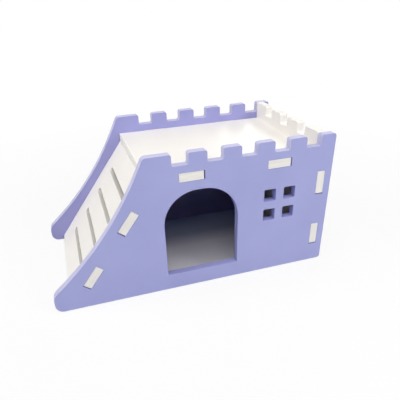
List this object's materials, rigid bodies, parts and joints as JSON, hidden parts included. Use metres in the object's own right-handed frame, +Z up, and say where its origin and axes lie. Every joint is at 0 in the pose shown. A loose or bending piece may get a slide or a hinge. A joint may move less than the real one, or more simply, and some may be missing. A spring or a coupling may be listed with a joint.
{
  "type": "hamster hut",
  "caption": "Castle-shaped hamster hut of slotted boards: a sloping side ramp leads up to a flat roof deck behind battlements, over a cabin with an arched doorway and a window.",
  "frame": {"origin": "on the floor under the middle of the hut: centre of the footprint", "axes": "+X along the side boards towards the end wall (the ramp comes down at -X), +Y from the doorway to the back, +Z up"},
  "size_m": [0.184, 0.1, 0.09],
  "materials": {
    "side_board": "lavender foamed board, satin faces and cut edges",
    "white_board": "warm white foamed board, satin faces and cut edges"
  },
  "bodies": {
    "root": {"front_board": "side_board", "back_board": "side_board", "deck": "white_board", "ramp": "white_board", "end_wall": "white_board"}
  },
  "joints": []
}
